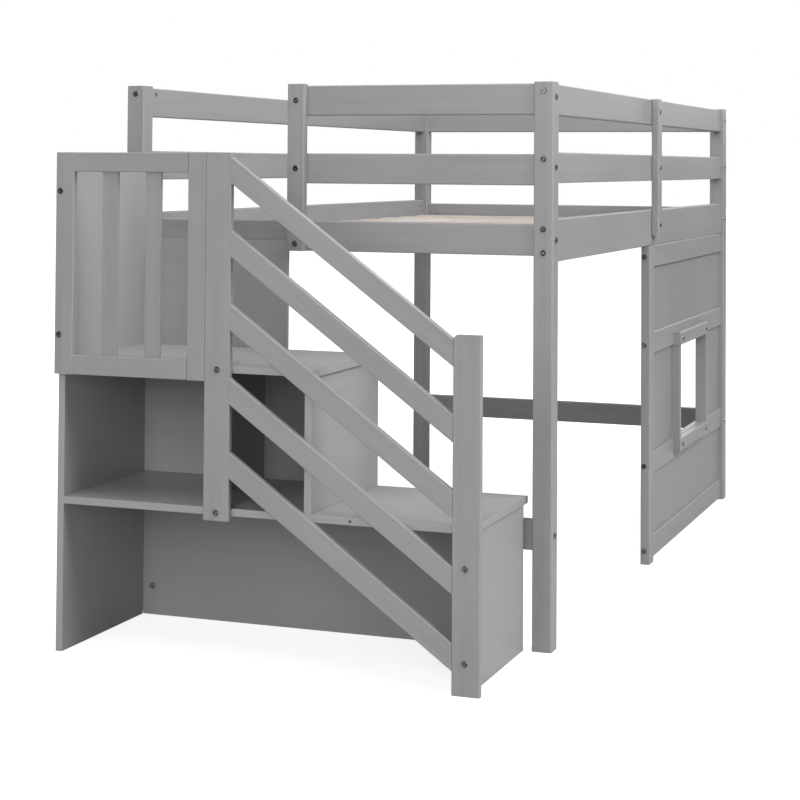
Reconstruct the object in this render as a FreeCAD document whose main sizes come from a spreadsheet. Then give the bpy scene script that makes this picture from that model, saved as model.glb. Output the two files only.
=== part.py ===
import FreeCAD, Part
import os
import re
import Sketcher

# Low twin loft bed with a storage staircase at its front end and a panel with an
# open window under its right side.  Millimetres, +Z up.  X runs across the bed,
# Y runs from the stair end to the far end.  The origin is on the floor, below the
# centre of the bounding box.
#
# Positions below are written in bed coordinates: X from the outer face of the
# left posts, Y from the front face of the front posts, Z from the floor.

DIMENSIONS = [
    # bed frame
    ("bed_width", 1065, "over the posts, for a 990 mm wide mattress"),
    ("bed_length", 1986, "over the posts, for a 1905 mm long mattress"),
    ("post_w", 45, "square section of the corner posts"),
    ("post_h", 1252, "height of the posts"),
    ("rail_t", 26, "thickness of rails and bed boards"),
    ("rail_gap", 8.5, "rail face set back from the post face"),
    ("rail_h", 69.5, "height of the guard rails and of the end boards"),
    ("top_rail_z", 1179, "underside of the top guard rail"),
    ("mid_rail_z", 1027, "underside of the middle guard rail at the sides and the far end"),
    ("front_mid_rail_z", 1022, "underside of the middle guard rail over the staircase"),
    ("end_board_z", 866, "underside of the bed boards at the two ends"),
    ("side_board_z", 851.5, "underside of the long bed boards"),
    ("side_board_h", 96, "height of the long bed boards"),
    ("stretcher_z", 219, "underside of the low stretchers"),
    ("stretcher_h", 66, "height of the low stretchers"),
    # lapped uprights
    ("strap_t", 20, "thickness of the uprights lapped on the rails"),
    ("entry_x", 427, "left edge of the upright beside the entry gap"),
    ("entry_w", 43, "width of that upright"),
    ("support_y", 972.5, "near edge of the guard supports at mid length"),
    ("support_w", 41, "width of the guard supports"),
    ("support_z", 879, "underside of the guard supports"),
    # slats
    ("cleat_w", 25, "section of the cleats that carry the slats"),
    ("cleat_z", 854, "underside of the cleats"),
    ("slat_count", 12, "number of slats"),
    ("slat_w", 68, "width of a slat"),
    ("slat_t", 18, "thickness of a slat"),
    ("slat_end_gap", 2, "gap between a slat's end and the bed board"),
    # panel with the window
    ("leg_y", 928, "near face of the window leg"),
    ("leg_w", 50, "width of the window leg along the bed"),
    ("leg_t", 25, "thickness of the window leg"),
    ("leg_inset", 1, "window leg set in from the outer post face"),
    ("frame_t", 20, "thickness of the window panel's rails"),
    ("frame_h", 59, "height of the window panel's rails"),
    ("frame_foot", 6.5, "gap under the lowest rail"),
    ("sill_z", 232, "underside of the rail under the window"),
    ("head_z", 556.5, "underside of the rail over the window"),
    ("infill_t", 7, "thickness of the infill panels"),
    ("infill_inset", 8, "infill face set back from the rail face"),
    ("groove", 6, "depth of the grooves that hold the infill"),
    ("window_y", 1250, "near side of the window surround"),
    ("window_l", 390, "length of the window surround"),
    ("jamb_t", 18, "thickness of the window jambs"),
    ("jamb_inset", 1.5, "window jambs set in from the ends and faces of the strips"),
    ("trim_h", 37, "height of the strips over and under the window"),
    # staircase cabinet
    ("board_t", 16, "thickness of the staircase boards"),
    ("cab_x", 41, "outer face of the left staircase side"),
    ("cab_w", 959.5, "width of the staircase cabinet"),
    ("cab_depth", 355, "depth of the cabinet in front of the posts"),
    ("tuck", 15, "lower tread and riser reach this far between the posts"),
    ("tread_overhang", 5, "lower tread's end past the right staircase side"),
    ("shelf_z", 321, "underside of the shelf, which is also the lower tread"),
    ("landing_z", 622, "underside of the landing"),
    ("landing_x", 655, "right end of the landing"),
    ("riser_x", 632, "left face of the riser"),
    ("divider_x", 354, "left face of the divider"),
    ("divider_front", 250, "divider's front edge, in front of the posts"),
    ("back_y", 1, "front face of the back panels"),
    ("upper_back_top", 888, "top of the upper back panel"),
    # staircase guard and railing
    ("newel_w", 60, "width of the newels"),
    ("front_t", 15, "thickness of newels, railings and guard frame"),
    ("newel_x", 404.5, "left edge of the upper newel"),
    ("newel_z", 312.5, "lower end of the upper newel"),
    ("guard_top", 1089.5, "top of the upper newel and of the landing guard"),
    ("low_newel_x", 965, "left edge of the lower newel"),
    ("low_newel_h", 723, "height of the lower newel"),
    ("newel_chamfer", 5, "chamfer at the lower newel's top left corner"),
    ("handrail_high", 1052.5, "centre of the top sloping rail at the upper newel"),
    ("handrail_low", 686.5, "centre of the top sloping rail at the lower newel"),
    ("high_pitch", 155.7, "vertical spacing of the sloping rails at the upper newel"),
    ("low_pitch", 152.5, "vertical spacing of the sloping rails at the lower newel"),
    ("handrail_side", 56, "vertical measure of a sloping rail"),
    ("guard_x", 38, "outer edge of the landing guard"),
    ("guard_z", 605, "underside of the landing guard"),
    ("guard_stile_w", 45, "width of the guard's frame members"),
    ("guard_rail_h", 42.5, "height of the guard's frame members"),
    ("guard_slat_w", 37, "width of the guard's upright slats"),
    ("guard_slat_t", 9, "thickness of the guard's upright slats"),
    # edges and fasteners
    ("pine_round", 3, "rounding of the long edges of solid timber"),
    ("board_round", 1, "rounding of the long edges of boards"),
    ("front_round", 2.2, "rounding of newels, sloping rails and guard frame"),
    ("bolt_d", 6, "connector bolt shank"),
    ("bolt_hole_d", 7, "clearance hole for a connector bolt"),
    ("bolt_head_d", 14, "connector bolt head"),
    ("bolt_head_h", 2.5, "height of a bolt head"),
    ("socket_r", 2.3, "corner radius of the hexagon socket"),
    ("bolt_length", 84, "long bolt, through a post into a rail's end"),
    ("short_bolt_length", 40, "short bolt, through an upright or a staircase board"),
    ("play", 0.1, "play of a nut in its hole and of a bolt in a nut"),
    ("bolt_stagger", 19, "bolts of the long rails sit this far above the rail's middle"),
    ("cross_bolt_rise", 5, "bolts of the cross rails sit this far above the rail's middle"),
    ("nut_d", 10, "barrel nut diameter"),
    ("nut_l", 16, "barrel nut length"),
    ("nut_reach", 34, "barrel nut centre from the rail's end"),
    ("cam_d", 12, "cam lock diameter"),
    ("cam_depth", 6, "cam lock depth"),
    ("cam_gap", 1.5, "clearance round a cam lock, and its depth below the panel's face"),
    ("insert_d", 6, "threaded insert hole in the lower tread's front edge"),
    ("pilot_d", 4, "pilot holes in the lower tread"),
]

doc = FreeCAD.newDocument("loft_bed")
sheet = doc.addObject("Spreadsheet::Sheet", "dims")
for row, (alias, size, note) in enumerate(DIMENSIONS, start=1):
    sheet.set("A%d" % row, alias)
    sheet.set("B%d" % row, str(size))
    sheet.set("C%d" % row, note)
    sheet.setAlias("B%d" % row, alias)
doc.recompute()


def sized(formula):
    """Turn a formula in plain names into an expression on the sheet."""
    return re.sub(r"[a-z]\w*", lambda found: "dims." + found.group(0), str(formula))


def bind(obj, prop, formula):
    obj.setExpression(prop, sized(formula))


def value(alias):
    return float(sheet.get(alias))


# Bed coordinates to the part's frame: the origin moves to the middle of the
# bounding box, whose ends are the newels' front and the far posts' back.
SHIFT = {
    "x": "bed_width / 2",
    "y": "(bed_length - cab_depth - front_t) / 2",
    "z": "0",
}
# Turns that lay the local Z axis along a direction in bed coordinates.
TURNS = {
    "+x": FreeCAD.Rotation(FreeCAD.Vector(0, 1, 0), 90),
    "-x": FreeCAD.Rotation(FreeCAD.Vector(0, 1, 0), -90),
    "+y": FreeCAD.Rotation(FreeCAD.Vector(1, 0, 0), -90),
    "-y": FreeCAD.Rotation(FreeCAD.Vector(1, 0, 0), 90),
    "+z": FreeCAD.Rotation(),
    "-z": FreeCAD.Rotation(FreeCAD.Vector(1, 0, 0), 180),
}
nodes = {}
cuts = {}


def place(obj, at, turn="+z"):
    obj.Placement = FreeCAD.Placement(FreeCAD.Vector(), TURNS[turn])
    for axis, formula in zip("xyz", at):
        bind(obj, "Placement.Base." + axis, "(%s) - (%s)" % (formula, SHIFT[axis]))


def box(name, at, size):
    solid = doc.addObject("Part::Box", name)
    for prop, formula in zip(("Length", "Width", "Height"), size):
        bind(solid, prop, formula)
    place(solid, at)
    return solid


def rounded(solid, radius):
    """Round the four long edges of a box."""
    doc.recompute()
    edges = solid.Shape.Edges
    longest = max(edge.Length for edge in edges)
    picked = [
        (number, value(radius), value(radius))
        for number, edge in enumerate(edges, start=1)
        if edge.Length > longest - 0.01
    ]
    fillet = doc.addObject("Part::Fillet", solid.Name + "_rounded")
    fillet.Base = solid
    fillet.Edges = picked
    return fillet


def cutter(piece_names, solid):
    """Note a solid that is to be cut out of the named pieces."""
    for name in piece_names:
        cuts.setdefault(name, []).append(solid)


def piece(name, at, size, radius="pine_round"):
    """A straight timber or board, known by its near lower left corner and size."""
    nodes[name] = rounded(box(name + "_blank", at, size), radius)


def group(name, solids):
    compound = doc.addObject("Part::Compound", name + "_set")
    compound.Links = solids
    nodes[name] = compound


# ---------------------------------------------------------------- fasteners
bolts = []
short_bolts = []
nuts = []
cams = []


def drilled(kind, at, direction, diameter, depth, through):
    hole = doc.addObject("Part::Cylinder", "%s_hole_%d" % (kind, len(doc.Objects)))
    bind(hole, "Radius", "(%s) / 2" % diameter)
    bind(hole, "Height", depth)
    place(hole, at, direction)
    cutter(through, hole)
    return hole


def bolt(kind, at, direction, through):
    """A bolt whose head seats at a point; it runs through the named pieces."""
    length = {"long": "bolt_length", "short": "short_bolt_length"}[kind]
    family = {"long": bolts, "short": short_bolts}[kind]
    family.append(drilled(kind, at, direction, "bolt_hole_d", length + " + 2", through))


def barrel_nut(at, direction, rail, bolt_axis):
    """A barrel nut entered from a rail's inner face, centred on the rail."""
    hole = drilled("nut", at, direction, "nut_d + 2 * play", "(rail_t + nut_l) / 2", [rail])
    nuts.append((hole, bolt_axis))


def side_joint(post, rail, side, end, height):
    """End-face bolt through a post into a long rail, with its barrel nut."""
    x = "post_w / 2" if side == "left" else "bed_width - post_w / 2"
    inner = "rail_gap + rail_t" if side == "left" else "bed_width - rail_gap - rail_t"
    nut_way = "-x" if side == "left" else "+x"
    if end == "front":
        bolt("long", (x, "0", height), "+y", [post, rail])
        nut_y = "post_w + nut_reach"
    else:
        bolt("long", (x, "bed_length", height), "-y", [post, rail])
        nut_y = "bed_length - post_w - nut_reach"
    barrel_nut((inner, nut_y, height), nut_way, rail, "y")


def end_joint(post, rail, side, end, height):
    """Side-face bolt through a post into a cross rail, with its barrel nut."""
    y = "post_w / 2" if end == "front" else "bed_length - post_w / 2"
    inner = "rail_gap + rail_t" if end == "front" else "bed_length - rail_gap - rail_t"
    nut_way = "-y" if end == "front" else "+y"
    if side == "left":
        bolt("long", ("0", y, height), "+x", [post, rail])
        nut_x = "post_w + nut_reach"
    else:
        bolt("long", ("bed_width", y, height), "-x", [post, rail])
        nut_x = "bed_width - post_w - nut_reach"
    barrel_nut((nut_x, inner, height), nut_way, rail, "x")


# ---------------------------------------------------------------- bed frame
RIGHT_POST_X = "bed_width - post_w"
BACK_POST_Y = "bed_length - post_w"
for end, post_y in (("front", "0"), ("back", BACK_POST_Y)):
    for side, post_x in (("left", "0"), ("right", RIGHT_POST_X)):
        piece("post_%s_%s" % (end, side), (post_x, post_y, "0"), ("post_w", "post_w", "post_h"))

SIDE_X = {"left": "rail_gap", "right": "bed_width - rail_gap - rail_t"}
END_Y = {"front": "rail_gap", "back": "bed_length - rail_gap - rail_t"}
SIDE_LENGTH = "bed_length - 2 * post_w"
END_LENGTH = "bed_width - 2 * post_w"
GUARD_RAILS = (("top_rail", "top_rail_z"), ("mid_rail", "mid_rail_z"))
FRONT_GUARD_RAILS = (("top_rail", "top_rail_z"), ("mid_rail", "front_mid_rail_z"))

for side in ("left", "right"):
    for rail, z in GUARD_RAILS:
        piece("%s_%s" % (side, rail), (SIDE_X[side], "post_w", z), ("rail_t", SIDE_LENGTH, "rail_h"))
    piece(
        side + "_bed_board",
        (SIDE_X[side], "post_w", "side_board_z"),
        ("rail_t", SIDE_LENGTH, "side_board_h"),
    )

for end in ("front", "back"):
    # At the front the guard rails start at the entry upright and leave the gap
    # between it and the left post open.
    start = "entry_x" if end == "front" else "post_w"
    for rail, z in FRONT_GUARD_RAILS if end == "front" else GUARD_RAILS:
        piece(
            "%s_%s" % (end, rail),
            (start, END_Y[end], z),
            ("bed_width - post_w - (%s)" % start, "rail_t", "rail_h"),
        )
    piece(
        end + "_bed_board",
        ("post_w", END_Y[end], "end_board_z"),
        (END_LENGTH, "rail_t", "rail_h"),
    )
    piece(
        end + "_stretcher",
        ("post_w", END_Y[end], "stretcher_z"),
        (END_LENGTH, "rail_t", "stretcher_h"),
    )

TOP_MID = "top_rail_z + rail_h / 2"
MID_MID = "mid_rail_z + rail_h / 2"
FRONT_MID_MID = "front_mid_rail_z + rail_h / 2"
END_BOARD_MID = "end_board_z + rail_h / 2"
STRETCHER_MID = "stretcher_z + stretcher_h / 2"
SIDE_BOARD_MID = "side_board_z + side_board_h / 2"

for end in ("front", "back"):
    for side in ("left", "right"):
        post = "post_%s_%s" % (end, side)
        side_joint(post, side + "_top_rail", side, end, TOP_MID + " + bolt_stagger")
        side_joint(post, side + "_mid_rail", side, end, MID_MID + " + bolt_stagger")
        side_joint(post, side + "_bed_board", side, end, SIDE_BOARD_MID + " + 26")
        side_joint(post, side + "_bed_board", side, end, SIDE_BOARD_MID + " - 26")
        if (end, side) != ("front", "left"):
            mid_height = FRONT_MID_MID if end == "front" else MID_MID
            end_joint(post, end + "_top_rail", side, end, TOP_MID + " + cross_bolt_rise")
            end_joint(post, end + "_mid_rail", side, end, mid_height + " + cross_bolt_rise")
        end_joint(post, end + "_bed_board", side, end, END_BOARD_MID)
        end_joint(post, end + "_stretcher", side, end, STRETCHER_MID)

# Uprights lapped on the outside of the rails: one beside the entry gap and one
# at the middle of each long side.
piece(
    "entry_upright",
    ("entry_x", "rail_gap - strap_t", "end_board_z"),
    ("entry_w", "strap_t", "post_h - end_board_z"),
)
for rail, z in (
    ("front_top_rail", TOP_MID),
    ("front_mid_rail", FRONT_MID_MID),
    ("front_bed_board", "end_board_z + 17"),
):
    bolt("short", ("entry_x + entry_w / 2", "rail_gap - strap_t", z), "+y", ["entry_upright", rail])

SUPPORT_X = {"left": "rail_gap - strap_t", "right": "bed_width - rail_gap"}
SUPPORT_FACE = {"left": "rail_gap - strap_t", "right": "bed_width - rail_gap + strap_t"}
INWARD = {"left": "+x", "right": "-x"}
for side in ("left", "right"):
    support = "guard_support_" + side
    piece(
        support,
        (SUPPORT_X[side], "support_y", "support_z"),
        ("strap_t", "support_w", "top_rail_z + rail_h - support_z"),
    )
    for rail, z in (
        (side + "_top_rail", TOP_MID),
        (side + "_mid_rail", MID_MID),
        (side + "_bed_board", "support_z + 28"),
    ):
        at = (SUPPORT_FACE[side], "support_y + support_w / 2", z)
        bolt("short", at, INWARD[side], [support, rail])

# ---------------------------------------------------------------- slats
CLEAT_X = {"left": "rail_gap + rail_t", "right": "bed_width - rail_gap - rail_t - cleat_w"}
cleats = []
for side in ("left", "right"):
    cleats.append(
        box(
            "cleat_" + side,
            (CLEAT_X[side], "post_w + 5", "cleat_z"),
            ("cleat_w", SIDE_LENGTH + " - 10", "cleat_w"),
        )
    )
group("slat_cleats", cleats)

slats = []
for number in range(int(value("slat_count"))):
    y = "post_w + 8 + %d * (bed_length - 2 * post_w - 16 - slat_w) / (slat_count - 1)" % number
    slat = box(
        "slat_%02d" % (number + 1),
        ("rail_gap + rail_t + slat_end_gap", y, "cleat_z + cleat_w"),
        ("bed_width - 2 * (rail_gap + rail_t + slat_end_gap)", "slat_w", "slat_t"),
    )
    slats.append(rounded(slat, "pine_round"))
group("slats", slats)

# ---------------------------------------------------------------- window panel
OUTER = "bed_width - rail_gap"
FRAME_X = OUTER + " - frame_t"
FRAME_Y = "leg_y + leg_w"
FRAME_LENGTH = "bed_length - post_w - leg_y - leg_w"
INFILL_X = OUTER + " - infill_inset - infill_t"
WINDOW_END = "window_y + window_l"
TOP_FRAME_Z = "side_board_z - frame_h"

piece(
    "window_leg",
    ("bed_width - leg_inset - leg_t", "leg_y", "0"),
    ("leg_t", "leg_w", "side_board_z"),
)
FRAME_RAILS = (
    ("window_bottom_rail", "frame_foot"),
    ("window_sill_rail", "sill_z"),
    ("window_head_rail", "head_z"),
    ("window_top_rail", TOP_FRAME_Z),
)
for rail, z in FRAME_RAILS:
    piece(rail, (FRAME_X, FRAME_Y, z), ("frame_t", FRAME_LENGTH, "frame_h"))
    middle = "%s + frame_h / 2" % z
    near = ("bed_width - leg_inset - leg_t + 9", "leg_y", middle)
    far = ("bed_width - leg_inset - leg_t + 9", "bed_length", middle)
    bolt("long", near, "+y", ["window_leg", rail])
    bolt("long", far, "-y", ["post_back_right", rail])


def infill(name, start_y, end_y, low_rail, low_z, high_rail, high_z):
    """An infill panel whose edges stand in grooves of the rails below and above."""
    bottom = "%s + frame_h - groove" % low_z
    length = "(%s) - (%s)" % (end_y, start_y)
    height = "(%s) - (%s) + 2 * groove - frame_h" % (high_z, low_z)
    nodes[name] = box(name + "_blank", (INFILL_X, start_y, bottom), ("infill_t", length, height))
    cutter([low_rail, high_rail], nodes[name])


JAMB_WIDTH = "infill_inset + infill_t + strap_t - jamb_inset"
JAMB_HEIGHT = "head_z - sill_z - frame_h"
jambs = []
JAMB_ENDS = (
    ("jamb_near", "window_y + jamb_inset"),
    ("jamb_far", WINDOW_END + " - jamb_t - jamb_inset"),
)
FAR_FACE = "bed_length - post_w"
infill("window_infill_bottom", FRAME_Y, FAR_FACE, *FRAME_RAILS[0], *FRAME_RAILS[1])
infill("window_infill_near", FRAME_Y, JAMB_ENDS[0][1], *FRAME_RAILS[1], *FRAME_RAILS[2])
infill("window_infill_far", JAMB_ENDS[1][1] + " + jamb_t", FAR_FACE, *FRAME_RAILS[1], *FRAME_RAILS[2])
infill("window_infill_top", FRAME_Y, FAR_FACE, *FRAME_RAILS[2], *FRAME_RAILS[3])

for name, y in JAMB_ENDS:
    jamb = box(name, (INFILL_X, y, "sill_z + frame_h"), (JAMB_WIDTH, "jamb_t", JAMB_HEIGHT))
    jambs.append(rounded(jamb, "board_round"))
group("window_jambs", jambs)

for trim, z, rail in (
    ("window_head_trim", "head_z", "window_head_rail"),
    ("window_sill_trim", "sill_z + frame_h - trim_h", "window_sill_rail"),
):
    piece(trim, (OUTER, "window_y", z), ("strap_t", "window_l", "trim_h"))
    for y in ("window_y + 40", WINDOW_END + " - 25"):
        bolt("short", (OUTER + " + strap_t", y, "%s + trim_h / 2" % z), "-x", [trim, rail])

# ---------------------------------------------------------------- staircase
CAB_FRONT = "-cab_depth"
CAB_INNER_L = "cab_x + board_t"
CAB_RIGHT = "cab_x + cab_w"
CAB_INNER_R = "cab_x + cab_w - board_t"
TREAD_DEPTH = "cab_depth + tuck"
LANDING_DEPTH = "cab_depth + back_y"
BACK_T = "rail_gap - back_y"
SHELF_TOP = "shelf_z + board_t"


def board(name, at, size):
    piece(name, at, size, "board_round")


board("stair_side_left", ("cab_x", CAB_FRONT, "0"), ("board_t", "cab_depth", "guard_top"))
board("stair_side_right", (CAB_INNER_R, CAB_FRONT, "0"), ("board_t", "cab_depth", "shelf_z"))
board(
    "shelf_and_lower_tread",
    (CAB_INNER_L, CAB_FRONT, "shelf_z"),
    ("cab_w - board_t + tread_overhang", TREAD_DEPTH, "board_t"),
)
board(
    "landing",
    (CAB_INNER_L, CAB_FRONT, "landing_z"),
    ("landing_x - cab_x - board_t", LANDING_DEPTH, "board_t"),
)
board(
    "stair_riser",
    ("riser_x", CAB_FRONT, SHELF_TOP),
    ("board_t", TREAD_DEPTH, "landing_z - shelf_z - board_t"),
)
board(
    "storage_divider",
    ("divider_x", "-divider_front", SHELF_TOP),
    ("board_t", "divider_front + back_y", "landing_z - shelf_z - board_t"),
)
board(
    "stair_back_lower",
    (CAB_INNER_L, "back_y", "0"),
    ("cab_w - 2 * board_t", BACK_T, "shelf_z"),
)
board(
    "stair_back_middle",
    (CAB_INNER_L, "back_y", SHELF_TOP),
    ("riser_x - cab_x - board_t", BACK_T, "landing_z - shelf_z - board_t"),
)
board(
    "stair_back_upper",
    (CAB_INNER_L, "back_y", "landing_z"),
    ("entry_x - 1 - cab_x - board_t", BACK_T, "upper_back_top - landing_z"),
)

LEVELS = (
    ("shelf_and_lower_tread", "shelf_z + board_t / 2"),
    ("landing", "landing_z + board_t / 2"),
)
for level, z in LEVELS:
    for y in ("-cab_depth + 50", "-60"):
        bolt("short", ("cab_x", y, z), "+x", ["stair_side_left", level])
for y in ("-cab_depth + 50", "-66"):
    at = ("riser_x + board_t / 2", y, "shelf_z")
    bolt("short", at, "+z", ["shelf_and_lower_tread", "stair_riser"])
for y in ("-divider_front + 50", "-66"):
    at = ("divider_x + board_t / 2", y, "shelf_z")
    bolt("short", at, "+z", ["shelf_and_lower_tread", "storage_divider"])

# Two pilot holes through the lower tread over each end of the right side, and a
# hole for a threaded insert in the tread's front edge.
for y in ("-cab_depth + 50", "-68"):
    for x in ("18", "10"):
        at = ("%s - %s" % (CAB_RIGHT, x), y, SHELF_TOP)
        drilled("pilot", at, "-z", "pilot_d", "board_t - 4", ["shelf_and_lower_tread"])
drilled("insert", ("736", CAB_FRONT, LEVELS[0][1]), "+y", "insert_d", "12", ["shelf_and_lower_tread"])

# Cam locks that draw the lower back panel to the two sides.
for x in (CAB_INNER_L + " + 24", CAB_INNER_R + " - 24"):
    for z in ("67", "shelf_z - 67"):
        at = (x, "back_y", z)
        hole = drilled("cam", at, "+y", "cam_d + 2 * cam_gap", "cam_depth", ["stair_back_lower"])
        cams.append(hole)

# ---------------------------------------------------------------- guard, railing
FRONT_Y = "-cab_depth - front_t"
piece(
    "newel_upper",
    ("newel_x", FRONT_Y, "newel_z"),
    ("newel_w", "front_t", "guard_top - newel_z"),
    "front_round",
)
piece(
    "newel_lower",
    ("low_newel_x", FRONT_Y, "0"),
    ("newel_w", "front_t", "low_newel_h"),
    "front_round",
)
# The small chamfer at the lower newel's outer top corner is cut with a box that
# is turned to stand on its edge.
chamfer_tool = box(
    "newel_chamfer_tool",
    ("low_newel_x - newel_chamfer * 2 ^ 0.5", FRONT_Y + " - 1", "low_newel_h"),
    ("2 * newel_chamfer", "front_t + 2", "2 * newel_chamfer"),
)
chamfer_tool.Placement.Rotation = FreeCAD.Rotation(FreeCAD.Vector(0, 1, 0), 45)
cutter(["newel_lower"], chamfer_tool)

for level, z in LEVELS:
    bolt("short", ("newel_x + newel_w / 2", FRONT_Y, z), "+y", ["newel_upper", level])
for z in ("254", "65"):
    at = (CAB_RIGHT + " - board_t / 2", FRONT_Y, z)
    bolt("short", at, "+y", ["newel_lower", "stair_side_right"])

RAIL_RUN = "low_newel_x - newel_x - newel_w"
RAIL_COUNT = 5


def sloping_rail(number):
    """A rail with upright ends that falls from the upper to the lower newel."""
    name = "stair_rail_%d" % (number + 1)
    high = "handrail_high - %d * high_pitch" % number
    fall = "%s - handrail_low + %d * low_pitch" % (high, number)
    body = doc.addObject("PartDesign::Body", name + "_body")
    origin = [item for item in body.Origin.OriginFeatures if item.Role == "XZ_Plane"]
    sketch = body.newObject("Sketcher::SketchObject", name + "_outline")
    sketch.AttachmentSupport = (origin[0], [""])
    sketch.MapMode = "FlatFace"
    run = value("low_newel_x") - value("newel_x") - value("newel_w")
    high_end = value("handrail_high") - number * value("high_pitch")
    low_end = value("handrail_low") - number * value("low_pitch")
    drop = high_end - low_end
    side = value("handrail_side")
    corners = [
        FreeCAD.Vector(0, 0, 0),
        FreeCAD.Vector(run, -drop, 0),
        FreeCAD.Vector(run, side - drop, 0),
        FreeCAD.Vector(0, side, 0),
    ]
    for first in range(4):
        sketch.addGeometry(Part.LineSegment(corners[first], corners[(first + 1) % 4]), False)
    for first in range(4):
        sketch.addConstraint(Sketcher.Constraint("Coincident", first, 2, (first + 1) % 4, 1))
    sketch.addConstraint(Sketcher.Constraint("Coincident", 0, 1, -1, 1))
    sketch.addConstraint(Sketcher.Constraint("Vertical", 1))
    sketch.addConstraint(Sketcher.Constraint("Vertical", 3))
    sketch.addConstraint(Sketcher.Constraint("Parallel", 0, 2))
    measures = (
        (Sketcher.Constraint("DistanceX", 0, 1, 0, 2, run), RAIL_RUN),
        (Sketcher.Constraint("DistanceY", 0, 2, 0, 1, drop), fall),
        (Sketcher.Constraint("DistanceY", 3, 2, 3, 1, side), "handrail_side"),
    )
    for constraint, formula in measures:
        index = sketch.addConstraint(constraint)
        sketch.setExpression("Constraints[%d]" % index, sized(formula))
    doc.recompute()
    pad = body.newObject("PartDesign::Pad", name + "_pad")
    pad.Profile = sketch
    pad.Reversed = True
    bind(pad, "Length", "front_t")
    body.Tip = pad
    doc.recompute()
    long_edges = [
        "Edge%d" % number
        for number, edge in enumerate(pad.Shape.Edges, start=1)
        if edge.Length > run
    ]
    rounding = body.newObject("PartDesign::Fillet", name + "_rounding")
    rounding.Base = (pad, long_edges)
    bind(rounding, "Radius", "front_round")
    body.Tip = rounding
    place(body, ("newel_x + newel_w", FRONT_Y, "%s - handrail_side / 2" % high))
    nodes[name] = body


for number in range(RAIL_COUNT):
    sloping_rail(number)

GUARD_HEIGHT = "guard_top - guard_z"
GUARD_INNER_L = "guard_x + guard_stile_w"
GUARD_INNER_R = "newel_x - guard_rail_h"
GUARD_SPAN = "newel_x - guard_rail_h - guard_x - guard_stile_w"
GUARD_FRAME = (
    ("guard_stile_left", "guard_x", "guard_z", "guard_stile_w", GUARD_HEIGHT),
    ("guard_stile_right", GUARD_INNER_R, "guard_z", "guard_rail_h", GUARD_HEIGHT),
    ("guard_bottom_rail", GUARD_INNER_L, "guard_z", GUARD_SPAN, "guard_rail_h"),
    ("guard_top_rail", GUARD_INNER_L, "guard_top - guard_rail_h", GUARD_SPAN, "guard_rail_h"),
)
for name, x, z, width, height in GUARD_FRAME:
    piece(name, (x, FRONT_Y, z), (width, "front_t", height), "front_round")

guard_slats = []
for number in (1, 2):
    x = "%s + %d * (%s + guard_slat_w) / 3 - guard_slat_w" % (GUARD_INNER_L, number, GUARD_SPAN)
    slat = box(
        "guard_slat_%d" % number,
        (x, FRONT_Y + " + front_t - guard_slat_t", "guard_z + guard_rail_h"),
        ("guard_slat_w", "guard_slat_t", "guard_top - guard_z - 2 * guard_rail_h"),
    )
    guard_slats.append(rounded(slat, "board_round"))
group("guard_slats", guard_slats)

for z in ("1005", "691"):
    at = ("cab_x + board_t / 2", FRONT_Y, z)
    bolt("short", at, "+y", ["guard_stile_left", "stair_side_left"])

# ---------------------------------------------------------------- cut the holes
for name, tools in cuts.items():
    joined = tools[0]
    if len(tools) > 1:
        joined = doc.addObject("Part::MultiFuse", name + "_tools")
        joined.Shapes = tools
    cut = doc.addObject("Part::Cut", name + "_drilled")
    cut.Base = nodes[name]
    cut.Tool = joined
    nodes[name] = cut
doc.recompute()

# ---------------------------------------------------------------- fasteners
# One master of each kind is modelled at the origin, with its head's seat on the
# XY plane and its shank along +Z, and is then repeated at every hole.


def bolt_master(name, length):
    head = doc.addObject("Part::Cone", name + "_head")
    bind(head, "Radius1", "bolt_head_d / 2")
    bind(head, "Radius2", "bolt_head_d / 2 - 1.2")
    bind(head, "Height", "bolt_head_h")
    head.Placement = FreeCAD.Placement(FreeCAD.Vector(), TURNS["-z"])
    shank = doc.addObject("Part::Cylinder", name + "_shank")
    bind(shank, "Radius", "bolt_d / 2")
    bind(shank, "Height", length)
    joined = doc.addObject("Part::Fuse", name + "_blank")
    joined.Base = head
    joined.Tool = shank
    socket = doc.addObject("Part::Prism", name + "_socket")
    socket.Polygon = 6
    bind(socket, "Circumradius", "socket_r")
    bind(socket, "Height", "bolt_head_h")
    bind(socket, "Placement.Base.z", "-bolt_head_h - 0.5")
    cut = doc.addObject("Part::Cut", name)
    cut.Base = joined
    cut.Tool = socket
    return cut


masters = (
    ("long_bolts", bolt_master("long_bolt", "bolt_length"), bolts),
    ("short_bolts", bolt_master("short_bolt", "short_bolt_length"), short_bolts),
)

nut_blank = doc.addObject("Part::Cylinder", "nut_blank")
bind(nut_blank, "Radius", "nut_d / 2")
bind(nut_blank, "Height", "nut_l")
nut_bore = doc.addObject("Part::Cylinder", "nut_bore")
bind(nut_bore, "Radius", "bolt_d / 2 + play")
bind(nut_bore, "Height", "2 * nut_d")
nut_bore.Placement.Rotation = TURNS["+x"]
bind(nut_bore, "Placement.Base.x", "-nut_d")
bind(nut_bore, "Placement.Base.z", "nut_l / 2")
nut_master = doc.addObject("Part::Cut", "barrel_nut")
nut_master.Base = nut_blank
nut_master.Tool = nut_bore

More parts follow.
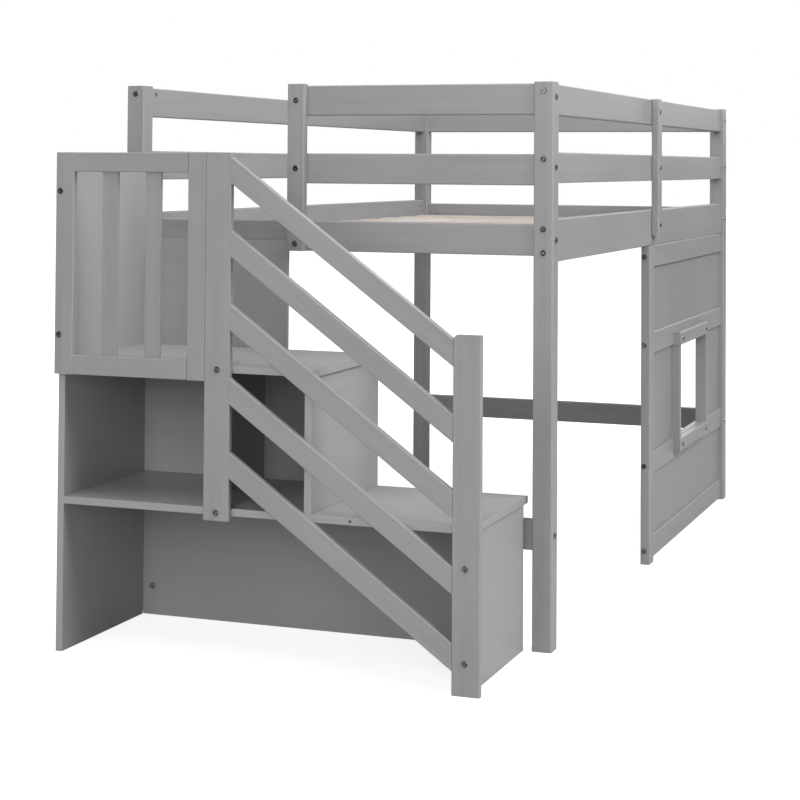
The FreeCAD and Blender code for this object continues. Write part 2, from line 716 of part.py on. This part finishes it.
cam_blank = doc.addObject("Part::Cylinder", "cam_blank")
bind(cam_blank, "Radius", "cam_d / 2")
bind(cam_blank, "Height", "cam_depth - cam_gap")
bind(cam_blank, "Placement.Base.z", "cam_gap")
cam_slot = doc.addObject("Part::Box", "cam_slot")
bind(cam_slot, "Length", "cam_d * 0.6")
bind(cam_slot, "Width", "1.6")
bind(cam_slot, "Height", "2 + cam_gap")
bind(cam_slot, "Placement.Base.x", "-cam_d * 0.3")
bind(cam_slot, "Placement.Base.y", "-0.8")
cam_master = doc.addObject("Part::Cut", "cam_lock")
cam_master.Base = cam_blank
cam_master.Tool = cam_slot
doc.recompute()


def repeated(name, shapes):
    feature = doc.addObject("Part::Feature", name + "_set")
    feature.Shape = Part.makeCompound(shapes)
    feature.Placement = FreeCAD.Placement()
    nodes[name] = feature


def moved(master, placement):
    shape = master.Shape.copy()
    shape.Placement = placement.multiply(shape.Placement)
    return shape


for name, master, holes in masters:
    repeated(name, [moved(master, hole.Placement) for hole in holes])

# A nut lies at the blind end of its hole, so that its bore is on the bolt.
nut_shapes = []
nut_seat = FreeCAD.Vector(0, 0, (value("rail_t") - value("nut_l")) / 2)
for hole, bolt_axis in nuts:
    placement = hole.Placement.multiply(FreeCAD.Placement(nut_seat, FreeCAD.Rotation()))
    bore_way = placement.Rotation.multVec(FreeCAD.Vector(1, 0, 0))
    wanted = FreeCAD.Vector(1, 0, 0) if bolt_axis == "x" else FreeCAD.Vector(0, 1, 0)
    if abs(bore_way.dot(wanted)) < 0.5:
        quarter = FreeCAD.Placement(FreeCAD.Vector(), FreeCAD.Rotation(FreeCAD.Vector(0, 0, 1), 90))
        placement = placement.multiply(quarter)
    nut_shapes.append(moved(nut_master, placement))
repeated("barrel_nuts", nut_shapes)
repeated("cam_locks", [moved(cam_master, hole.Placement) for hole in cams])

# ---------------------------------------------------------------- check, write
for name, obj in nodes.items():
    obj.Label = name
doc.recompute()
for obj in doc.Objects:
    bad = [state for state in obj.State if state in ("Invalid", "Error")]
    if bad:
        raise RuntimeError("%s failed: %s" % (obj.Name, bad))
for name, obj in nodes.items():
    if obj.Shape.isNull() or not obj.Shape.isValid():
        raise RuntimeError("%s has no valid shape" % name)

os.makedirs("parts", exist_ok=True)
for name, obj in nodes.items():
    obj.Shape.exportStep("parts/%s.step" % name)
print("%d nodes written" % len(nodes))
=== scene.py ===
import math

import bpy
from mathutils import Euler, Matrix, Vector


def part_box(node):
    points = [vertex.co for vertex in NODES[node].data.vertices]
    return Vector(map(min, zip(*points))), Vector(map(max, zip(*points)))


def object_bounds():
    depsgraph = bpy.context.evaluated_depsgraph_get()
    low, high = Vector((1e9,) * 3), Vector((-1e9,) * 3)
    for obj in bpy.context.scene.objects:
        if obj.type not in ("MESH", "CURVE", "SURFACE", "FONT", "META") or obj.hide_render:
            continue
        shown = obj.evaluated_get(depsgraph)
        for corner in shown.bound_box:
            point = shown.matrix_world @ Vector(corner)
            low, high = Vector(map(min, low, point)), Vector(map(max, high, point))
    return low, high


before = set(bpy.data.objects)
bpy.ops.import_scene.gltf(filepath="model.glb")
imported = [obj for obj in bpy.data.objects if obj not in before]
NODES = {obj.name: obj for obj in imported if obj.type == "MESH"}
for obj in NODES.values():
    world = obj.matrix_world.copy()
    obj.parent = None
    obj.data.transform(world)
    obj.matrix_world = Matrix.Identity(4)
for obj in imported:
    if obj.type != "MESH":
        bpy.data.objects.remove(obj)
bounds_at_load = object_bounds()


# ------------------------------------------------------------------ node helpers
def new_material(name):
    """A node material; returns it with its node tree and its Principled shader."""
    material = bpy.data.materials.new(name)
    material.use_nodes = True
    tree = material.node_tree
    shader = next(n for n in tree.nodes if n.type == "BSDF_PRINCIPLED")
    return material, tree, shader


def node(tree, kind, inputs=None, **settings):
    """Adds a shader node and sets its properties; an input takes a value or a link."""
    made = tree.nodes.new("ShaderNode" + kind)
    for key, setting in settings.items():
        setattr(made, key, setting)
    for key, given in (inputs or {}).items():
        if isinstance(given, bpy.types.NodeSocket):
            tree.links.new(given, made.inputs[key])
        else:
            made.inputs[key].default_value = given
    return made


def math_node(tree, operation, first, second=0.0):
    return node(tree, "Math", {0: first, 1: second}, operation=operation).outputs[0]


def ramp(tree, factor, stops):
    """A colour ramp through (position, colour) stops."""
    made = node(tree, "ValToRGB", {"Fac": factor})
    elements = made.color_ramp.elements
    while len(elements) < len(stops):
        elements.new(0.5)
    for element, (position, colour) in zip(elements, stops):
        element.position = position
        element.color = colour
    return made.outputs["Color"]


def grey(level):
    return (level, level, level, 1.0)


def mix_colour(tree, factor, first, second, blend="MIX"):
    """Mixes or blends two colours; a Mix node's colour sockets are its inputs 6 and 7."""
    sockets = {0: factor, 6: first, 7: second}
    return node(tree, "Mix", sockets, data_type="RGBA", blend_type=blend).outputs[2]


def noise(tree, place, scale, detail):
    inputs = {"Vector": place, "Scale": scale, "Detail": detail}
    return node(tree, "TexNoise", inputs).outputs["Fac"]


def weighted_sum(tree, terms):
    """The sum of (value, weight) terms."""
    parts = [math_node(tree, "MULTIPLY", given, weight) for given, weight in terms]
    total = parts[0]
    for part in parts[1:]:
        total = math_node(tree, "ADD", total, part)
    return total


def set_bump(tree, shader, height, strength, distance):
    inputs = {"Height": height, "Strength": strength, "Distance": distance}
    bump = node(tree, "Bump", inputs)
    tree.links.new(bump.outputs["Normal"], shader.inputs["Normal"])


# ------------------------------------------------------------------ materials
PAINT = (0.236, 0.232, 0.240, 1.0)
BOARD_PAINT = (0.268, 0.263, 0.271, 1.0)
INFILL_PAINT = (0.222, 0.218, 0.225, 1.0)
# The lighter edge grey is partly rubbed paint and partly a painted edge highlight.
RUBBED_AND_HIGHLIT_PAINT = (0.42, 0.415, 0.425, 1.0)
BARE_KNOT = (0.33, 0.18, 0.09, 1.0)
EARLY_WOOD = (0.50, 0.46, 0.44, 1.0)
LATE_WOOD = (0.42, 0.36, 0.31, 1.0)
TIMBER_WEAR_AND_HIGHLIGHT_RADIUS = 0.0016
WEAR_AND_HIGHLIGHT_STRENGTH = 0.35
# Width of the metal's rim colour: worn plating on zinc, painted shade on brass.
METAL_RIM_RADIUS = 0.0008


def grain_coordinates(tree, along, slant=0.0, stretch=0.04):
    """Object coordinates squeezed along the grain, so that noise draws out in streaks."""
    place = node(tree, "TexCoord").outputs["Object"]
    if slant:
        turned = node(tree, "Mapping", {"Vector": place, "Rotation": (0, slant, 0)})
        place = turned.outputs["Vector"]
    scale = [stretch if axis == along else 1.0 for axis in "xyz"]
    return node(tree, "Mapping", {"Vector": place, "Scale": scale}).outputs["Vector"]


def edge_mask(tree, radius):
    """White where the rounded normal leaves the true one: at the edges."""
    soft = node(tree, "Bevel", {"Radius": radius}, samples=6).outputs["Normal"]
    hard = node(tree, "NewGeometry").outputs["Normal"]
    turn = node(tree, "VectorMath", {0: soft, 1: hard}, operation="DOT_PRODUCT")
    return math_node(tree, "SUBTRACT", 1.0, turn.outputs["Value"])


def painted_wood(name, along, paint=PAINT, slant=0.0, solid=True):
    """Grey satin paint; on solid pine the grain telegraphs through, on board it is finer."""
    material, tree, shader = new_material(name)
    place = node(tree, "TexCoord").outputs["Object"]
    streaks = grain_coordinates(tree, along, slant)
    coarse = noise(tree, streaks, 55.0, 5.0)
    fine = noise(tree, streaks, 420.0, 3.0)
    cloud = noise(tree, place, 3.0, 2.0)
    peel = noise(tree, place, 260.0, 2.0)
    # Colour: slow clouds of a slightly thinner coat, then the grain's faint streaks.
    streak_depth = 0.10 if solid else 0.05
    shade = ramp(tree, coarse, [(0.30, grey(1.0 - streak_depth)), (0.70, grey(1.0))])
    clouds = ramp(tree, cloud, [(0.30, grey(0.955)), (0.70, grey(1.03))])
    colour = mix_colour(tree, 1.0, paint, shade, "MULTIPLY")
    colour = mix_colour(tree, 1.0, colour, clouds, "MULTIPLY")
    # Wear and painted highlight: lighter paint along the edges, partly rubbed paint and partly a
    # painted edge highlight, in patches that follow the grain.
    edge_wear_and_shading = edge_mask(tree, TIMBER_WEAR_AND_HIGHLIGHT_RADIUS)
    rubbed_and_highlit = ramp(tree, edge_wear_and_shading, [(0.02, grey(0.0)), (0.25, grey(1.0))])
    patch = ramp(tree, coarse, [(0.42, grey(0.25)), (0.62, grey(0.8))])
    wear_and_highlight = math_node(tree, "MULTIPLY", rubbed_and_highlit, patch)
    wear_and_highlight = math_node(tree, "MULTIPLY", wear_and_highlight, WEAR_AND_HIGHLIGHT_STRENGTH)
    colour = mix_colour(tree, wear_and_highlight, colour, RUBBED_AND_HIGHLIT_PAINT)
    tree.links.new(colour, shader.inputs["Base Color"])
    gloss = ramp(tree, cloud, [(0.25, grey(0.34)), (0.75, grey(0.44))])
    tree.links.new(gloss, shader.inputs["Roughness"])
    shader.inputs["Specular IOR Level"].default_value = 0.42
    # Relief: grain that shows through the coat, fibres and the paint's orange peel.
    relief = [(coarse, 0.7 if solid else 0.25), (fine, 0.35), (peel, 0.15)]
    set_bump(tree, shader, weighted_sum(tree, relief), 0.35, 0.0006)
    return material


def natural_pine(name, along):
    """Planed pine: growth rings cut lengthwise, fine fibres and a few knots."""
    material, tree, shader = new_material(name)
    place = node(tree, "TexCoord").outputs["Object"]
    streaks = grain_coordinates(tree, along, stretch=0.06)
    rings = node(
        tree,
        "TexWave",
        {"Vector": streaks, "Scale": 34.0, "Distortion": 7.0, "Detail": 3.0, "Detail Scale": 1.2},
        bands_direction="Y" if along == "x" else "X",
    )
    fibre = noise(tree, streaks, 500.0, 3.0)
    board = noise(tree, place, 5.5, 1.0)
    knots = node(tree, "TexVoronoi", {"Vector": place, "Scale": 4.0}, feature="F1")
    colour = ramp(tree, rings.outputs["Fac"], [(0.25, EARLY_WOOD), (0.85, LATE_WOOD)])
    tone = ramp(tree, board, [(0.3, grey(0.90)), (0.7, grey(1.06))])
    colour = mix_colour(tree, 1.0, colour, tone, "MULTIPLY")
    knot = ramp(tree, knots.outputs["Distance"], [(0.02, grey(0.85)), (0.075, grey(0.0))])
    colour = mix_colour(tree, knot, colour, BARE_KNOT)
    tree.links.new(colour, shader.inputs["Base Color"])
    gloss = ramp(tree, fibre, [(0.3, grey(0.52)), (0.7, grey(0.66))])
    tree.links.new(gloss, shader.inputs["Roughness"])
    set_bump(tree, shader, math_node(tree, "ADD", rings.outputs["Fac"], fibre), 0.3, 0.0004)
    return material


def plated_metal(name, bright, dark, rim_wear_and_shade, roughness):
    """Plated steel with a mottled tone, and a rim colour at the edges: worn plating where it is
    light, painted shade of the gap round a head where it is dark.
    """
    material, tree, shader = new_material(name)
    place = node(tree, "TexCoord").outputs["Object"]
    mottle = noise(tree, place, 240.0, 4.0)
    colour = ramp(tree, mottle, [(0.35, dark), (0.65, bright)])
    edges = edge_mask(tree, METAL_RIM_RADIUS)
    edge_wear_and_shading = ramp(tree, edges, [(0.03, grey(0.0)), (0.3, grey(0.8))])
    # The rim colour: worn plating on zinc, a painted shade (the dark ring of the gap round a bolt
    # head) on brass.
    colour = mix_colour(tree, edge_wear_and_shading, colour, rim_wear_and_shade)
    tree.links.new(colour, shader.inputs["Base Color"])
    shader.inputs["Metallic"].default_value = 1.0
    gloss = ramp(tree, mottle, [(0.3, grey(roughness)), (0.7, grey(roughness + 0.15))])
    tree.links.new(gloss, shader.inputs["Roughness"])
    set_bump(tree, shader, mottle, 0.2, 0.0002)
    return material


RAIL_HEIGHT = 0.056  # a sloping rail's upright measure
rail_low, rail_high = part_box("stair_rail_3")
SLOPE = math.atan2(rail_high.z - rail_low.z - RAIL_HEIGHT, rail_high.x - rail_low.x)
TIMBER = {axis: painted_wood("painted_pine_" + axis, axis) for axis in "xyz"}
BOARD = {
    axis: painted_wood("painted_board_" + axis, axis, BOARD_PAINT, solid=False) for axis in "xyz"
}
INFILL = painted_wood("painted_infill", "y", INFILL_PAINT, solid=False)
SLOPING = painted_wood("painted_pine_sloping", "x", slant=-SLOPE)
SLAT_PINE = natural_pine("pine_slats", "x")
CLEAT_PINE = natural_pine("pine_cleats", "y")
BRASS = plated_metal(
    "antique_brass",
    bright=(0.30, 0.29, 0.27, 1.0),
    dark=(0.05, 0.047, 0.043, 1.0),
    # A painted shade: the dark ring of the gap round each bolt head.
    rim_wear_and_shade=(0.03, 0.03, 0.03, 1.0),
    roughness=0.14,
)
ZINC = plated_metal(
    "zinc_plate",
    bright=(0.55, 0.55, 0.56, 1.0),
    dark=(0.30, 0.30, 0.32, 1.0),
    rim_wear_and_shade=(0.80, 0.80, 0.82, 1.0),
    roughness=0.30,
)

SPECIAL = {
    "slats": SLAT_PINE,
    "slat_cleats": CLEAT_PINE,
    "long_bolts": BRASS,
    "short_bolts": BRASS,
    "barrel_nuts": ZINC,
    "cam_locks": ZINC,
    "guard_slats": TIMBER["z"],
    "window_jambs": TIMBER["z"],
}
BOARD_WORDS = ("stair_side", "stair_back", "shelf", "landing", "riser", "divider")


def paint_of(name):
    """The paint whose grain runs along the node's longest side."""
    if name in SPECIAL:
        return SPECIAL[name]
    if name.startswith("stair_rail"):
        return SLOPING
    if name.startswith("window_infill"):
        return INFILL
    low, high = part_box(name)
    size = high - low
    longest = "xyz"[max(range(3), key=lambda axis: size[axis])]
    family = BOARD if any(word in name for word in BOARD_WORDS) else TIMBER
    return family[longest]


for name, obj in NODES.items():
    obj.data.materials.clear()
    obj.data.materials.append(paint_of(name))

# ------------------------------------------------------------------ floor, light
low, high = bounds_at_load
centre = (low + high) / 2
AMBIENT = 0.29  # the studio's ambient light, as a share of the white backdrop
FLOOR_GLOW = 0.78  # the floor's own light round the bed, as seen by the camera
GLOW_FROM = 1.2  # distance from the bed's middle where the glow starts to rise
GLOW_TO = 3.6  # and where it is full


def plane(name, half, z):
    mesh = bpy.data.meshes.new(name)
    corners = [(-half, -half, z), (half, -half, z), (half, half, z), (-half, half, z)]
    mesh.from_pydata(corners, [], [(0, 1, 2, 3)])
    made = bpy.data.objects.new(name, mesh)
    bpy.context.collection.objects.link(made)
    return made


floor = plane("studio_floor", 40.0, low.z)
pale, tree, shader = new_material("pale_floor")
shader.inputs["Base Color"].default_value = grey(0.42)
shader.inputs["Roughness"].default_value = 0.9
shader.inputs["Specular IOR Level"].default_value = 0.1
# The floor is seen lit from below like a light table: softly round the bed, and
# fully further out, where it meets the white backdrop.
shader.inputs["Emission Color"].default_value = grey(1.0)
floor_place = node(tree, "TexCoord").outputs["Object"]
distance = node(tree, "VectorMath", {0: floor_place}, operation="LENGTH").outputs["Value"]
glow = node(
    tree,
    "MapRange",
    {"Value": distance, "From Min": GLOW_FROM, "From Max": GLOW_TO, "To Min": FLOOR_GLOW},
)
seen = node(tree, "LightPath").outputs["Is Camera Ray"]
glow_seen = math_node(tree, "MULTIPLY", glow.outputs["Result"], seen)
tree.links.new(glow_seen, shader.inputs["Emission Strength"])
floor.data.materials.append(pale)

# The studio's soft ambient light is dimmer than the white backdrop seen behind
# the bed.
world = bpy.data.worlds.new("studio")
world.use_nodes = True
sky = world.node_tree
background = sky.nodes["Background"]
background.inputs["Color"].default_value = grey(1.0)
seen = node(sky, "LightPath").outputs["Is Camera Ray"]
strength = node(sky, "MapRange", {"Value": seen, "To Min": AMBIENT})
sky.links.new(strength.outputs["Result"], background.inputs["Strength"])
bpy.context.scene.world = world


def soft_light(name, place, size, power):
    """A square softbox that faces the middle of the bed."""
    data = bpy.data.lights.new(name, "AREA")
    data.shape = "SQUARE"
    data.size = size
    data.energy = power
    lamp = bpy.data.objects.new(name, data)
    lamp.location = place
    lamp.rotation_euler = (centre - Vector(place)).to_track_quat("-Z", "Y").to_euler()
    bpy.context.collection.objects.link(lamp)


# Name, place in metres, side in metres, power in watts.
LIGHTS = (
    ("key", (4.85, -1.0, 4.45), 3.0, 434),
    ("front", (0.4, -6.6, 2.8), 3.0, 190),
    ("low_front", (2.4, -6.6, 1.2), 2.5, 62),
    ("overhead", (0.0, -2.0, 5.8), 4.5, 180),
    ("back", (0.5, 7.0, 3.0), 3.5, 80),
    ("left_back", (-6.0, 3.0, 2.6), 3.5, 150),
)
for light in LIGHTS:
    soft_light(*light)

# ------------------------------------------------------------------ camera
SENSOR_MM = 36.0
FOCAL_MM = 80.77
# The lens is shifted as in a product shot, which keeps the posts upright.
SHIFT_X = -0.0817
SHIFT_Y = -0.3585
CAMERA_PLACE = (1.6522, -4.6068, 1.0646)
CAMERA_YAW = math.radians(19.23)
CAMERA_PITCH = math.radians(1.68)
CAMERA_ROLL = math.radians(0.32)

camera_data = bpy.data.cameras.new("camera")
camera_data.sensor_width = SENSOR_MM
camera_data.lens = FOCAL_MM
camera_data.shift_x = SHIFT_X
camera_data.shift_y = SHIFT_Y
camera = bpy.data.objects.new("camera", camera_data)
aim = Euler((math.pi / 2 + CAMERA_PITCH, 0.0, CAMERA_YAW)).to_matrix()
aim = aim @ Matrix.Rotation(CAMERA_ROLL, 3, "Z")
camera.matrix_world = Matrix.Translation(CAMERA_PLACE) @ aim.to_4x4()
bpy.context.collection.objects.link(camera)
bpy.context.scene.camera = camera
bpy.context.scene.view_settings.view_transform = "Standard"
